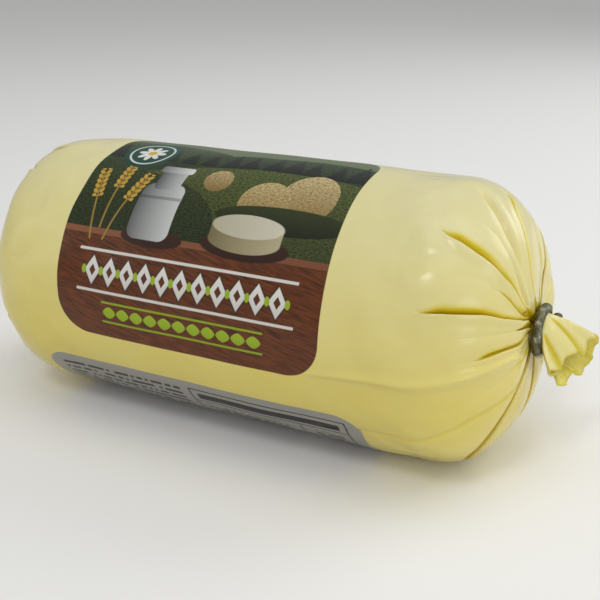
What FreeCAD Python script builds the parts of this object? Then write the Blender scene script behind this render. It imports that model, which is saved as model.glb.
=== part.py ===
"""A sausage-shaped pack of kneaded cheese: one film tube filled with cheese, gathered at both ends and
shut by a metal wire clip at each neck, with the loose film standing out past the clips as a ruffled tail.

Millimetres. +X runs along the pack towards the end with the longer tail, +Z is up. The pack lies on a
narrow flat that its own weight presses into it, and the origin is the middle of the footprint of its box.
"""

import FreeCAD
import Part

import math
import os

# Driving dimensions
BODY_RADIUS = 31.5        # a tube of about 100 mm lay-flat width
BARREL = 0.3              # how much fatter the middle is than the shoulders
STRAIGHT_HALF = 45.4      # half the length of the round middle
FLAT_DEPTH = 0.9          # how far the underside is pressed flat

NECK_RADIUS = 4.0         # gathered film inside a clip
NECK_HALF = 1.6           # half the length of the bare neck under a clip
DIMPLE = 1.4              # how far a neck is pulled back into the end of the pack
DIMPLE_RADIUS = 16.0      # where that pull begins
LEAN_REACH = 8.0          # how far off the axis a neck's lean still grows

CLIP_WIRE_WIDE = 2.1      # along the pack
CLIP_WIRE_DEEP = 1.9      # out from the neck
CLIP_FIRST_DEG = 150.0    # where round the neck the first leg ends
CLIP_OVERLAP_DEG = 36.0   # how far the two legs pass each other
CLIP_LEG_STEP = 2.25      # distance between the passing legs, along the pack
CLIP_LEG_SHIFT = 0.65     # how far both legs stand towards the tail where they pass
CLIP_CLEARANCE = 0.02     # between the wire and the film at its tightest

FILM_FOLD = 0.8           # thickness of the doubled, ruffled film in a tail

COLUMNS = 120             # control points round the pack
DEG = math.pi / 180.0

# Each end of the pack. depth is from the shoulder to the neck, square says how square the shoulder is,
# lean is how far the neck and clip sit askew, as the tangent of the angle, lift how far they sit above the
# axis, tail is the length of the loose film, wide and high its mouth's half sizes, askew the mouth's lean,
# droop how far the mouth hangs under the neck.
NEAR_END = dict(side=1, depth=20.7, square=2.4, pleats=13, phase=0.4, lean=0.05, lift=1.0, tail=6.8,
                wide=10.5, high=4.8, askew=0.26, droop=6.4, lobes=7, cut=0.14)
FAR_END = dict(side=-1, depth=18.9, square=3.2, pleats=12, phase=1.7, lean=0.04, lift=0.6, tail=7.6,
               wide=8.6, high=5.2, askew=0.12, droop=4.2, lobes=6, cut=-0.12)

# The deep folds. outer and inner are angles round the pack where a fold starts and where it reaches the
# neck, measured up from the -Y side; reach is the share of the end that it crosses; depth and width in mm.
NEAR_FOLDS = [
    dict(outer=57, inner=41, reach=1.00, depth=1.7, width=2.2),
    dict(outer=24, inner=30, reach=1.00, depth=1.5, width=2.2),
    dict(outer=98, inner=62, reach=0.80, depth=1.5, width=2.2),
    dict(outer=80, inner=55, reach=0.86, depth=0.7, width=2.4),
    dict(outer=-4, inner=12, reach=0.75, depth=0.8, width=2.6),
    dict(outer=-50, inner=-28, reach=0.80, depth=1.2, width=2.4),
    dict(outer=-86, inner=-70, reach=0.90, depth=1.3, width=2.4),
    dict(outer=138, inner=120, reach=0.95, depth=1.5, width=2.4),
    dict(outer=181, inner=170, reach=0.85, depth=1.2, width=2.4),
    dict(outer=228, inner=222, reach=0.95, depth=1.4, width=2.4),
]
FAR_FOLDS = [
    dict(outer=16, inner=30, reach=0.80, depth=1.2, width=2.4),
    dict(outer=62, inner=70, reach=0.95, depth=1.5, width=2.4),
    dict(outer=118, inner=112, reach=0.85, depth=1.3, width=2.4),
    dict(outer=160, inner=170, reach=1.00, depth=1.6, width=2.4),
    dict(outer=214, inner=208, reach=0.85, depth=1.3, width=2.4),
    dict(outer=262, inner=250, reach=0.90, depth=1.2, width=2.4),
    dict(outer=316, inner=325, reach=0.95, depth=1.4, width=2.4),
]


def smooth(value):
    """0 below 0, 1 above 1 and an even S between."""
    v = min(1.0, max(0.0, value))
    return v * v * (3.0 - 2.0 * v)


def turn(angle):
    """The angle brought between -pi and pi."""
    return (angle + math.pi) % (2.0 * math.pi) - math.pi


def gathered(phi, count, phase):
    """Pleats of uneven width round a neck: round crests and sharp valleys, about 0 on average."""
    uneven = phi + 0.22 * math.sin(phi + phase) + 0.10 * math.sin(3.0 * phi + 2.0 * phase)
    return abs(math.cos(0.5 * count * uneven)) - 0.64


def body_radius(x):
    """The round middle, fatter by BARREL half way along."""
    return BODY_RADIUS + BARREL * (1.0 - (x / STRAIGHT_HALF) ** 2)


def fold_depth(folds, phi, across, radius):
    """How deep the folds cut in at an angle, where across is 0 at the shoulder and 1 at the neck."""
    total = 0.0
    for f in folds:
        start = 1.0 - f["reach"]
        along = (across - start) / f["reach"]
        middle = (f["outer"] + (f["inner"] - f["outer"]) * smooth(along)) * DEG
        away = radius * turn(phi - middle) / f["width"]
        fade = smooth(along / 0.35) * min(1.0, 0.12 + radius / (0.55 * BODY_RADIUS))
        total += f["depth"] * fade * math.exp(-away * away)
    return total


def placed(end, out, radius, phi):
    """A point of an end, out along the pack from its middle and round its axis, leaning and lifted near
    the neck."""
    y = -radius * math.cos(phi)
    near_neck = smooth((out - STRAIGHT_HALF - 0.4 * end["depth"]) / (0.45 * end["depth"]))
    shift = end["lean"] * near_neck * LEAN_REACH * math.tanh(y / LEAN_REACH)
    return FreeCAD.Vector(end["side"] * out + shift, y, radius * math.sin(phi) + end["lift"] * near_neck)


def column_angles():
    return [2.0 * math.pi * k / COLUMNS for k in range(COLUMNS)]


def neck_start(end):
    """How far out from the middle the film reaches its neck."""
    return STRAIGHT_HALF + end["depth"] - DIMPLE


def dome_rings(end, folds):
    """From the shoulder to the neck: a squared-off dome, with folds and pleats pushed in along its normal."""
    rings = []
    power = 2.0 / end["square"]
    steps = 22
    for i in range(1, steps + 1):
        a = 0.5 * math.pi * i / steps
        radius = NECK_RADIUS + (BODY_RADIUS - NECK_RADIUS) * max(0.0, math.cos(a)) ** power
        pulled = DIMPLE * smooth((DIMPLE_RADIUS - radius) / (DIMPLE_RADIUS - NECK_RADIUS))
        x = STRAIGHT_HALF + end["depth"] * math.sin(a) ** power - pulled
        gather = smooth((0.86 * BODY_RADIUS - radius) / (0.6 * BODY_RADIUS))
        height = 1.25 * gather * min(1.0, (radius - 0.8 * NECK_RADIUS) / (0.25 * BODY_RADIUS))
        ring = []
        for phi in column_angles():
            push = height * gathered(phi, end["pleats"], end["phase"])
            push -= fold_depth(folds, phi, i / steps, radius)
            ring.append(placed(end, x + push * math.sin(a), radius + push * math.cos(a), phi))
        rings.append(ring)
    return rings


def neck_rings(end):
    """The neck that the clip holds, with the pleats pressed nearly flat."""
    start = neck_start(end)
    rings = []
    for share in (0.35, 0.8, 1.2, 1.65, 2.0):
        ring = []
        for phi in column_angles():
            radius = NECK_RADIUS + 0.12 * (gathered(phi, end["pleats"], end["phase"]) - 0.36)
            ring.append(placed(end, start + share * NECK_HALF, radius, phi))
        rings.append(ring)
    return rings


def tail_point(end, phi, share, inward):
    """The ruffled film past the clip, flaring into a wide, low mouth that hangs down. share runs from the
    clip to the cut edge, inward is taken off the radii."""
    spread = smooth(share) ** 0.8
    lobe = 2.0 * spread * gathered(phi, end["lobes"], end["phase"] + 0.8) - inward
    neck = NECK_RADIUS - 0.3
    wide = neck + (end["wide"] - neck) * spread + lobe
    high = neck + (end["high"] - neck) * spread + 0.6 * lobe
    length = end["tail"] * (1.0 + end["cut"] * math.sin(phi + 0.5) + 0.06 * math.cos(3.0 * phi))
    out = neck_start(end) + 2.0 * NECK_HALF + length * share
    y = -wide * math.cos(phi)
    lean = end["lean"] + (end["askew"] - end["lean"]) * spread
    shift = lean * LEAN_REACH * math.tanh(y / LEAN_REACH)
    z = high * math.sin(phi) + end["lift"] - end["droop"] * spread
    return FreeCAD.Vector(end["side"] * out + shift, y, z)


def tail_rings(end):
    """Out along the ruffle, over its cut edge and back down inside it, ending in a flat ring for the floor."""
    rings = []
    for share in (0.1, 0.25, 0.45, 0.65, 0.85, 0.97, 1.0):
        rings.append([tail_point(end, phi, share, 0.0) for phi in column_angles()])
    for share in (1.0, 0.95, 0.8, 0.62, 0.48):
        rings.append([tail_point(end, phi, share, FILM_FOLD) for phi in column_angles()])
    floor_x = neck_start(end) + 2.0 * NECK_HALF + 0.4 * end["tail"]
    for radius in (2.2, 1.2):
        rings.append([FreeCAD.Vector(end["side"] * floor_x, -radius * math.cos(phi),
                                     radius * math.sin(phi) + end["lift"] - 0.35 * end["droop"])
                      for phi in column_angles()])
    return rings


def middle_rings():
    """The round middle, from one shoulder to the other."""
    steps = 13
    rings = []
    for i in range(steps + 1):
        x = -STRAIGHT_HALF + 2.0 * STRAIGHT_HALF * i / steps
        radius = body_radius(x)
        rings.append([FreeCAD.Vector(x, -radius * math.cos(phi), radius * math.sin(phi))
                      for phi in column_angles()])
    return rings


def skin(rings):
    """A solid whose side is one smooth surface, closed round, over rings of control points, with flat ends."""
    degree = 3
    rows, columns = len(rings), len(rings[0])
    along = [degree + 1] + [1] * (rows - degree - 1) + [degree + 1]
    surface = Part.BSplineSurface()
    surface.buildFromPolesMultsKnots(
        rings, along, [1] * (columns + 1),
        [float(i) for i in range(len(along))], [float(i) for i in range(columns + 1)],
        False, True, degree, degree)
    side = surface.toShape()
    ends = [Part.Face(Part.Wire([e])) for e in side.Edges if e.isClosed()]
    shell = Part.makeShell([side] + ends)
    shell.sewShape()
    solid = Part.makeSolid(shell)
    if solid.Volume < 0.0:
        solid.reverse()
    return solid


def casing():
    """Floor of the far tail, far tail, far dome, middle, near dome, near tail and its floor, as one skin,
    with a plane cut for the flat underneath."""
    far = dome_rings(FAR_END, FAR_FOLDS) + neck_rings(FAR_END) + tail_rings(FAR_END)
    near = dome_rings(NEAR_END, NEAR_FOLDS) + neck_rings(NEAR_END) + tail_rings(NEAR_END)
    full = skin(far[::-1] + middle_rings() + near)
    room = 4.0 * BODY_RADIUS
    above = Part.makeBox(2.0 * room, 2.0 * room, room,
                         FreeCAD.Vector(-room, -room, FLAT_DEPTH - BODY_RADIUS))
    return full.common(above).Solids[0]


def clip(end):
    """A round wire bent into a closed clip: a little more than one turn, its two legs passing side by side."""
    sides, steps = 14, 64
    turn_deg = 360.0 + CLIP_OVERLAP_DEG
    middle = neck_start(end) + NECK_HALF
    mean = NECK_RADIUS + CLIP_CLEARANCE + 0.5 * CLIP_WIRE_DEEP
    rings = []
    for i in range(steps + 1):
        share = i / steps
        phi = (CLIP_FIRST_DEG + turn_deg * share) * DEG
        # the legs stand apart where they pass, a little towards the tail, and share the middle elsewhere
        sweep = turn_deg * share / 70.0
        first, last = smooth(1.2 - sweep), smooth(sweep - 4.4)
        aside = 0.5 * CLIP_LEG_STEP * (first - last) + CLIP_LEG_SHIFT * (first + last)
        taper = min(1.0, math.sqrt(min(share, 1.0 - share) / 0.018 + 0.09))
        ring = []
        for k in range(sides):
            a = 2.0 * math.pi * k / sides
            radius = mean + 0.5 * CLIP_WIRE_DEEP * taper * math.cos(a)
            across = 0.5 * CLIP_WIRE_WIDE * taper * math.sin(a) + aside
            ring.append(placed(end, middle + across, radius, phi))
        rings.append(ring)
    return skin(rings)


def main():
    os.makedirs("parts", exist_ok=True)
    parts = {"filled_casing": casing(), "clip_near": clip(NEAR_END), "clip_far": clip(FAR_END)}
    box = parts["filled_casing"].optimalBoundingBox()
    to_origin = FreeCAD.Vector(-box.Center.x, -box.Center.y, BODY_RADIUS - FLAT_DEPTH)
    for name, shape in parts.items():
        shape.translate(to_origin)
        shape.exportStep("parts/%s.step" % name)
        print(name, "valid", shape.isValid(), "solids", len(shape.Solids), "faces", len(shape.Faces),
              "volume %.2f cm3" % (shape.Volume / 1000.0))
    print("moved by", to_origin, "length %.1f width %.1f" % (box.XLength, box.YLength))


main()
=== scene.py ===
import math
import bpy
import numpy as np
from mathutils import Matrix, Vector


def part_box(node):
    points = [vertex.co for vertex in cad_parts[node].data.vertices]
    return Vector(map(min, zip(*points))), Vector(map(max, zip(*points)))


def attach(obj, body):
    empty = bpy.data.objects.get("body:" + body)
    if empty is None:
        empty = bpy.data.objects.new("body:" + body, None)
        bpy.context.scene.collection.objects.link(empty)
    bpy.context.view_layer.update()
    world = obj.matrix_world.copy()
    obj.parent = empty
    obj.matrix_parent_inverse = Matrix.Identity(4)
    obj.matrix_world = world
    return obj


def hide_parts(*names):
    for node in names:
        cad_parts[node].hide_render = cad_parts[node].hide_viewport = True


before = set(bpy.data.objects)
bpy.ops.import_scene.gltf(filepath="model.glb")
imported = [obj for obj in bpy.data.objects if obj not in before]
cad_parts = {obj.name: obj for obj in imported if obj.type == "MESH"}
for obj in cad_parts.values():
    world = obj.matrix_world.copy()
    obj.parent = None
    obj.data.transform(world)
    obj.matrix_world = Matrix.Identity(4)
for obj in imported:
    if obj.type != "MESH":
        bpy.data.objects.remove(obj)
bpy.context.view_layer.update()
print("frame loaded")

mm = 0.001
degree = math.pi / 180

# the pack's shape, in millimetres from the middle of its axis, out along X
packShape = {
    "radius": 31.5, "barrel": 0.3, "straightHalf": 45.4, "flatDepth": 0.9,
    "neckRadius": 3.85, "neckHalf": 1.6, "dimple": 1.4, "dimpleRadius": 16.0, "leanReach": 8.0,
    "nearClipLow": 65.0107,  # how far out from the middle the near clip's box begins
}
nearEnd = {"side": 1, "depth": 20.7, "square": 2.4, "lean": 0.05, "lift": 1.0}
farEnd = {"side": -1, "depth": 18.9, "square": 3.2, "lean": 0.04, "lift": 0.6}

filmHigh = np.array(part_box("filled_casing")[1]) / mm
clipLow = np.array(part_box("clip_near")[0]) / mm
middleX = clipLow[0] - packShape["nearClipLow"]
middleZ = filmHigh[2] - packShape["radius"] - packShape["barrel"]
packMiddle = np.array([middleX, 0.0, middleZ])


def smooth(value):
    # 0 below 0, 1 above 1, 3v^2 - 2v^3 between
    v = np.clip(value, 0.0, 1.0)
    return v * v * (3.0 - 2.0 * v)


def bell(value):
    # exp(-v^2)
    return np.exp(-value * value)


def turnFrom(phi, at):
    # the turn from one angle to another in degrees, from -180 to 180
    return (phi - at + 180.0) % 360.0 - 180.0


def neckStart(end):
    # how far out the film reaches its neck: half the straight run and the dome's depth, less the dimple
    return packShape["straightHalf"] + end["depth"] - packShape["dimple"]


def leaning(lean, y):
    # shift along X of a leaning neck: lean * reach * tanh(y / reach)
    return lean * packShape["leanReach"] * np.tanh(y / packShape["leanReach"])


def addPiece(name, points, faces):
    # a smooth shaded mesh from points in millimetres and each face's list of point numbers
    mesh = bpy.data.meshes.new(name)
    mesh.from_pydata((points * mm).tolist(), [], faces)
    mesh.polygons.foreach_set("use_smooth", np.ones(len(mesh.polygons), dtype=bool))
    mesh.update()
    piece = bpy.data.objects.new(name, mesh)
    bpy.context.scene.collection.objects.link(piece)
    return piece


def gridFaces(rows, columns):
    # quads of a grid that closes on itself across, row by row
    row, column = np.meshgrid(np.arange(rows - 1), np.arange(columns), indexing="ij")
    after = (column + 1) % columns
    return np.stack([row * columns + column, row * columns + after,
                     (row + 1) * columns + after, (row + 1) * columns + column], -1).reshape(-1, 4)


def fanFaces(columns, ringStart, pole):
    # triangles from a pole point to every two neighbours of a ring, against the ring's own direction
    step = np.arange(columns)
    return np.stack([np.full(columns, pole), ringStart + (step + 1) % columns, ringStart + step], -1)


def addTube(name, rings, flip=False, openEnd=False):
    # a grid of rings, closed at its start and, if its end isn't open, there too, by a pole point that is the
    # mean of the last ring
    rows, columns = rings.shape[:2]
    count = rows * columns
    points = [rings.reshape(-1, 3), rings[:1].mean(1)]
    faces = gridFaces(rows, columns).tolist() + fanFaces(columns, 0, count).tolist()
    if not openEnd:
        points.append(rings[-1:].mean(1))
        faces += fanFaces(columns, count - columns, count + 1)[:, [0, 2, 1]].tolist()
    if flip:
        faces = [face[::-1] for face in faces]
    return addPiece(name, np.concatenate(points), faces)


def setCorners(piece, name, first, second):
    # a UV map from two numbers per grid point, given with one more column for the far side of the seam
    mesh = piece.data
    rows, columns = first.shape[0], first.shape[1] - 1
    layer = mesh.uv_layers.new(name=name)
    vertex = np.empty(len(mesh.loops), dtype=np.int32)
    mesh.loops.foreach_get("vertex_index", vertex)
    corners = np.empty(len(mesh.polygons), dtype=np.int32)
    mesh.polygons.foreach_get("loop_total", corners)
    face = np.repeat(np.arange(len(corners)), corners)
    pole = vertex >= rows * columns
    row = np.where(pole, np.where(vertex == rows * columns, 0, rows - 1), vertex // columns)
    column = np.where(pole, 0, vertex % columns)
    # a face that holds the last column sees column 0 at the far side of the seam
    hasLast = np.zeros(len(corners), dtype=bool)
    np.logical_or.at(hasLast, face, (column == columns - 1) & ~pole)
    column = np.where((column == 0) & ~pole & hasLast[face], columns, column)
    values = np.stack([first[row, column], second[row, column]], -1)
    # a pole takes the mean of its face's other corners, across
    sums = np.bincount(face, np.where(pole, 0.0, values[:, 1]))
    others = np.bincount(face, ~pole)
    values[:, 1] = np.where(pole, (sums / np.maximum(others, 1))[face], values[:, 1])
    layer.uv.foreach_set("vector", values.astype(np.float32).ravel())
    return layer


def setNumbers(piece, name, values):
    # one number per point, with each pole at the mean of its ring
    full = np.concatenate([values.ravel(), [values[0].mean(), values[-1].mean()]])
    layer = piece.data.attributes.new(name, "FLOAT", "POINT")
    layer.data.foreach_set("value", full[:len(layer.data)].astype(np.float32))


# The filled film. Each fold line runs along the pack. Its track is the share of the near end that it has
# crossed, 0 at the shoulder and 1 at the neck, with its angle there in degrees, up from the -Y side. Then
# come its depth and width in millimetres, its lip, the side whose edge lies over the fold, how far that edge
# reaches over it, and the shares between which the fold is cut.
foldLines = [
    ([(0, -92), (.3, -64), (.47, -53), (.6, -47), (.71, -42), (.79, -37), (.87, -38), (.94, -48),
     (1, -60)], 2.3, 2.9, -1, 0.8, 0.16, 1.2),
    ([(0, -34), (.24, -26), (.4, -24), (.58, -26), (.74, -30), (.87, -29),
     (1, -38)], 0.35, 1.9, 0, 0.0, -0.1, 0.8),
    ([(0, -18), (.5, -13), (.8, -8), (.9, -13), (1, -22)], 1.0, 1.4, 1, 0.4, 0.7, 1.2),
    ([(0, -4.5), (.28, -1.5), (.5, -1), (.72, 0), (1, -6)], -1.0, 2.5, 0, 0.0, -0.4, 0.85),
    ([(0, 4), (.48, 5), (.67, 7), (.83, 7), (1, 10)], 1.1, 1.7, -1, 0.3, 0.4, 1.2),
    ([(0, 14), (.5, 16), (.78, 19.5), (.87, 21), (1, 24)], 1.7, 1.6, -1, 0.6, 0.7, 1.2),
    ([(0, 22.5), (.15, 23), (.29, 24), (.43, 24.3), (.6, 23.6), (.71, 24.5), (.79, 25.5), (.91, 29),
     (1, 34)], 2.3, 1.6, -1, 1.1, 0.03, 1.2),
    ([(0, 42), (.4, 38.5), (.57, 36.5), (.63, 34.5), (.7, 31.5), (.77, 29.5), (.87, 32),
     (1, 39)], 1.5, 1.3, -1, 0.4, 0.5, 1.2),
    ([(0, 57), (.07, 54.5), (.12, 52.5), (.18, 51.3), (.26, 49.8), (.36, 47.8), (.45, 45.8), (.53, 43.5),
     (.6, 42.2), (.66, 40), (.72, 36.5), (.78, 34), (.88, 36.5), (1, 46)], 2.6, 2.0, -1, 1.2, 0.03, 1.2),
    ([(0, 70), (.4, 62), (.6, 54.5), (.66, 50.5), (.71, 47), (.8, 42.5), (.9, 43.5),
     (1, 54)], 0.8, 2.0, 0, 0.0, 0.5, 0.9),
    ([(0, 90), (.21, 82), (.3, 77.5), (.4, 72), (.46, 68.5), (.53, 65.5), (.6, 62.5), (.66, 58),
     (.72, 54), (.8, 49), (.9, 50), (1, 62)], 1.15, 2.8, 0, 0.0, 0.1, 0.7),
    ([(0, 104), (.3, 96), (.42, 87), (.5, 82.5), (.56, 78), (.62, 73.5), (.68, 67), (.72, 62), (.77, 57),
     (.83, 54.5), (.9, 57), (1, 71)], 2.1, 2.2, -1, 0.7, 0.2, 1.1),
    ([(0, 122), (.4, 113), (.7, 101), (1, 92)], 1.3, 1.8, -1, 0.5, 0.35, 1.2),
    ([(0, 143), (.4, 137), (.7, 127), (1, 117)], 2.4, 2.0, 1, 1.1, 0.05, 1.2),
    ([(0, 166), (.4, 162), (.7, 155), (1, 148)], 0.9, 1.7, 0, 0.0, 0.5, 1.2),
    ([(0, 188), (.5, 187), (.8, 188), (1, 182)], 2.2, 2.0, -1, 1.0, 0.12, 1.2),
    ([(0, 208), (.5, 212), (.8, 214), (1, 207)], 1.2, 1.6, 1, 0.4, 0.42, 1.2),
    ([(0, 230), (.5, 236), (.8, 241), (1, 234)], 2.1, 1.8, 1, 0.9, 0.1, 1.2),
    ([(0, 249), (.5, 262), (.8, 272), (1, 264)], 1.2, 1.7, -1, 0.5, 0.3, 1.2),
]
filmShape = {
    # rows, columns between two fold lines, and how the columns crowd towards the lines
    "perGap": 20, "nearRows": 132, "nearNeckRows": 9, "middleRows": 38, "farRows": 62, "farNeckRows": 7,
    "crowding": 0.125, "seed": 11,
    # near folds: shares of the end over which each grows and fades, and how far out they start
    "nearGrow": 0.16, "nearFade": 0.12, "startOut": 18.0, "fullOut": 44.0,
    # far folds: how far the lines turn, in degrees, and ranges of depth and of the share where a fold begins
    "farDrift": 9.0, "farDepth": (0.5, 1.9), "farFrom": (0.1, 0.5), "farGrow": 0.2, "farWidth": 1.5,
    "farOver": 0.5,
    # swelling between the lines: a share of the gap, the most in millimetres, and the crown's form
    "puff": 0.055, "puffMost": 0.8, "crownPower": 0.7, "crownSink": 0.55, "farPuff": 0.8,
    # long low waves: how many, lengths along the pack, heights and the shoulder's width
    "waves": 26, "waveLength": (14.0, 60.0), "waveHeight": 0.022, "shoulderWave": 0.045, "shoulder": 13.0,
}
# dents and swellings where the firm filling meets the shoulder: out in mm, angle, length, width, height
filmDents = [
    (44.5, 42, 4.2, 2.6, -0.42), (47.5, 37, 3.0, 3.0, 0.26), (41.0, 33, 3.4, 3.2, -0.38),
    (37.5, 36, 4.0, 3.0, 0.22), (45.0, 31, 3.2, 2.4, 0.28), (40.0, 48, 5.0, 3.4, -0.20),
    (50.0, 79, 4.0, 4.0, -0.36), (46.0, 86, 5.0, 4.0, 0.22), (47.0, 16, 6.0, 3.6, -0.26),
    (43.0, 9, 7.0, 4.0, 0.20), (46.5, -14, 6.0, 3.0, -0.24), (51.0, -22, 6.0, 3.4, 0.22),
    (62.0, 117, 7.0, 23.0, -1.8),
    (44.0, 128, 5.0, 4.5, -0.4), (47.0, 172, 6.0, 4.5, -0.35), (45.0, 219, 5.0, 4.5, -0.4),
    (-46.0, 22, 5.0, 4.0, -0.34), (-48.0, 47, 4.0, 4.0, -0.28), (-45.0, 74, 6.0, 4.0, -0.30),
    (-50.0, -6, 5.0, 4.0, -0.34), (-46.0, 118, 5.0, 5.0, -0.34), (-47.0, 176, 5.0, 5.0, -0.34),
]
printUnit = 100.0  # millimetres of print to one unit of its UV map


def endProfile(end, rows):
    # superellipse dome: out = half + depth sin^p(a) less the dimple, radius = neck + (R - neck) cos^p(a),
    # taken at even steps along its length; returns the share of a, out and radius
    p = 2.0 / end["square"]
    a = np.linspace(0.0, math.pi / 2, 4000)
    neck, reach = packShape["neckRadius"], packShape["dimpleRadius"]
    radius = neck + (packShape["radius"] - neck) * np.clip(np.cos(a), 0.0, 1.0) ** p
    pulled = packShape["dimple"] * smooth((reach - radius) / (reach - neck))
    out = packShape["straightHalf"] + end["depth"] * np.sin(a) ** p - pulled
    along = np.concatenate([[0.0], np.cumsum(np.hypot(np.diff(out), np.diff(radius)))])
    wanted = np.linspace(0.0, along[-1], rows + 1)[1:]
    return tuple(np.interp(wanted, along, v) for v in (a / (math.pi / 2), out, radius))


def neckOut(end, rows):
    # how far out the rows of a straight neck lie, evenly spaced
    return neckStart(end) + np.linspace(0.0, 1.5 * packShape["neckHalf"], rows + 1)[1:]


def filmRows():
    # the film's rows, a low barrel between two domes and their necks, from the far neck to the near one: out,
    # radius, share of the end crossed, below 0 at the far end, and length along the film
    half, neck = packShape["straightHalf"], packShape["neckRadius"]
    nearShare, nearOut, nearRadius = endProfile(nearEnd, filmShape["nearRows"])
    farShare, farOut, farRadius = endProfile(farEnd, filmShape["farRows"])
    nearNeck, farNeck = neckOut(nearEnd, filmShape["nearNeckRows"]), neckOut(farEnd, filmShape["farNeckRows"])
    middleOut = np.linspace(-half, half, filmShape["middleRows"])
    middleRadius = packShape["radius"] + packShape["barrel"] * (1.0 - (middleOut / half) ** 2)
    out = np.concatenate([-farNeck[::-1], -farOut[::-1], middleOut, nearOut, nearNeck])
    radius = np.concatenate([np.full(len(farNeck), neck), farRadius[::-1], middleRadius, nearRadius,
                             np.full(len(nearNeck), neck)])
    share = np.concatenate([np.full(len(farNeck), -1.0), -farShare[::-1], np.zeros(len(middleOut)), nearShare,
                            np.ones(len(nearNeck))])
    along = np.concatenate([[0.0], np.cumsum(np.hypot(np.diff(out), np.diff(radius)))])
    return out, radius, share, along


def trackAngles(share):
    # every fold line's angle at each share of the near end, from its track rounded off by a moving mean
    fine = np.linspace(-0.2, 1.2, 561)
    kernel = bell(np.linspace(-2.0, 2.0, 33))
    kernel /= kernel.sum()
    found = []
    for track, *_ in foldLines:
        at, angle = zip(*track)
        raw = np.interp(fine, at, angle)
        rounded = np.convolve(np.pad(raw, len(kernel) // 2, mode="edge"), kernel, mode="valid")
        found.append(np.interp(share, fine, rounded))
    return np.stack(found, -1)


def lineAngles(out, share, rng):
    # the fold lines' angles at every row: the near tracks, evenly spread far tracks with a little drift, and
    # a smooth run from one to the other along the straight middle
    half, lines = packShape["straightHalf"], len(foldLines)
    nearAngles = trackAngles(np.clip(share, 0.0, 1.0))
    firstAngle = foldLines[0][0][0][1]
    farStart = firstAngle + 360.0 / lines * np.arange(lines)
    farDrift = rng.uniform(-filmShape["farDrift"], filmShape["farDrift"], lines)
    farDrift[0] = 0.0
    farAngles = farStart + farDrift * smooth(-share)[:, None]
    run = smooth((out + half) / (2.0 * half))[:, None]
    return farAngles * (1.0 - run) + nearAngles * run


def swelling(radius, share, gap, crowded):
    # the film swells between the lines, more as they close in on the neck: a share of the gap's width, no
    # more than a set height, times the crown (4 w (1 - w))^power less its sink
    gapWidth = radius[:, None] * gap * degree
    grow = smooth((share - 0.1) / 0.6) + filmShape["farPuff"] * smooth((-share - 0.15) / 0.6)
    swell = np.minimum(filmShape["puff"] * gapWidth, filmShape["puffMost"]) * grow[:, None]
    crown = (4.0 * crowded * (1.0 - crowded)) ** filmShape["crownPower"] - filmShape["crownSink"]
    return (swell[:, :, None] * crown).reshape(len(radius), -1)


def foldShape(away, depth, width, lip, over):
    # height, sideways shift and colour across one fold: a valley on one side of the line, a lip over it on
    # the other; the colour, the deeper yellow of film in layers with painted shade in the valley, ends
    # sharply at the lip and fades away from it
    side = away / width * (lip if lip else 1)
    offset = 0.30 if lip else 0.0
    valley = bell((side + offset) / (0.42 if lip else 0.6))
    crest = bell((side - 0.45) / 0.6) if lip else 0.0 * side
    height = depth * (0.22 * crest - valley)
    shift = over * (bell((side + 0.30) / 0.5) - 0.85 * bell((side - 0.45) / 0.45)) * lip
    tintAndShade = bell((side + 0.12) / np.where(side > -0.12, 0.20, 1.05 if lip else 0.45))
    return height, shift, tintAndShade


def foldCuts(out, share, rng):
    # each fold to cut, as its line, depth, width, lip, overlap and how far it has grown at each row: the near
    # end's own folds, narrower and shallower towards the neck, then smaller ones at the far end
    share, out = share[:, None], out[:, None]
    started = smooth((out - filmShape["startOut"]) / (filmShape["fullOut"] - filmShape["startOut"]))
    narrow = 0.78 - 0.30 * smooth((share - 0.3) / 0.4)
    shallow = 1.0 - 0.25 * smooth((share - 0.35) / 0.3)
    cuts = []
    for index, (_, depth, width, lip, over, begin, stop) in enumerate(foldLines):
        grow = started * smooth((share - begin) / filmShape["nearGrow"])
        grow = grow * smooth((stop - share) / filmShape["nearFade"])
        cuts.append((index, depth, shallow, width * narrow * (0.35 + 0.65 * grow), lip, over, grow))
    depths = rng.uniform(*filmShape["farDepth"], len(foldLines))
    begins = rng.uniform(*filmShape["farFrom"], len(foldLines))
    for index, (depth, begin) in enumerate(zip(depths, begins)):
        grow = smooth((-share - begin) / filmShape["farGrow"])
        lip = 1 if index % 2 else -1
        cuts.append((index, depth, 1.0, filmShape["farWidth"], lip, filmShape["farOver"], grow))
    return cuts


def filmUnevenness(phi, out, radius, rng):
    # heights of the waves, products of two sines that are stronger at the shoulders, and of the dents, bells
    # along and across that die out towards the neck
    height = np.zeros_like(phi)
    shoulder = bell((np.abs(out) - packShape["straightHalf"] - 2.0) / filmShape["shoulder"])[:, None]
    for count in range(filmShape["waves"]):
        around = rng.integers(1, 9) + (6 if count % 3 == 0 else 0)
        length = rng.uniform(*filmShape["waveLength"])
        phase = rng.uniform(0.0, 2.0 * math.pi, 2)
        wave = np.sin(around * phi * degree + phase[0])
        wave *= np.sin(2.0 * math.pi * out[:, None] / length + phase[1])
        height += wave * (filmShape["waveHeight"] + filmShape["shoulderWave"] * shoulder)
    for outAt, angleAt, length, width, tall in filmDents:
        across = turnFrom(phi, angleAt) * degree * packShape["radius"]
        dent = tall * bell((out[:, None] - outAt) / length) * bell(across / width)
        height += dent * smooth((radius - 4.5) / 8.0)[:, None]
    return height


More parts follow.
